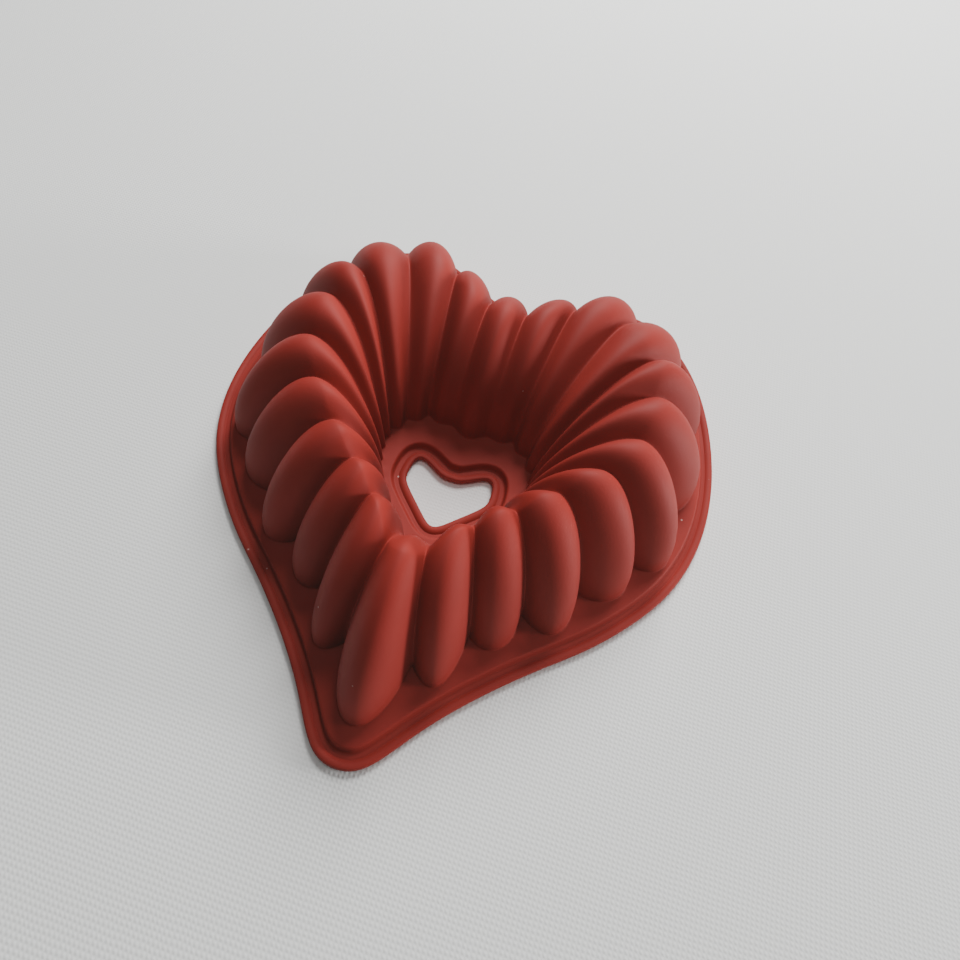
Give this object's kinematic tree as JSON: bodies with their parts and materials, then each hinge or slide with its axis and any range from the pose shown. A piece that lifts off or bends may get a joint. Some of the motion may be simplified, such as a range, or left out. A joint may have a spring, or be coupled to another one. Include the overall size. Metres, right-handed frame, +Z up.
{
  "type": "heart-shaped bundt pan",
  "caption": "Heart-shaped silicone bundt cake pan with deep rounded flutes, a flat ledge, a rolled rim and a heart-shaped centre tube, shown upside down on its rim.",
  "frame": {"origin": "centre of the bounding box in plan, on the surface the upside-down pan rests on", "axes": "+Z up out of the closed, fluted side; -Y toward the tip of the heart, +Y toward its notch; X across the heart, which is symmetric left to right"},
  "size_m": [0.2314, 0.2567, 0.0493],
  "materials": {
    "rim_silicone": "satin matte brick-red silicone",
    "flute_silicone": "satin matte brick-red silicone"
  },
  "bodies": {
    "root": {"rim_roll": "rim_silicone", "rim_flange": "rim_silicone", "outer_flutes": "flute_silicone", "inner_flutes": "flute_silicone", "tube_flange": "rim_silicone", "tube_roll": "rim_silicone"}
  },
  "joints": []
}
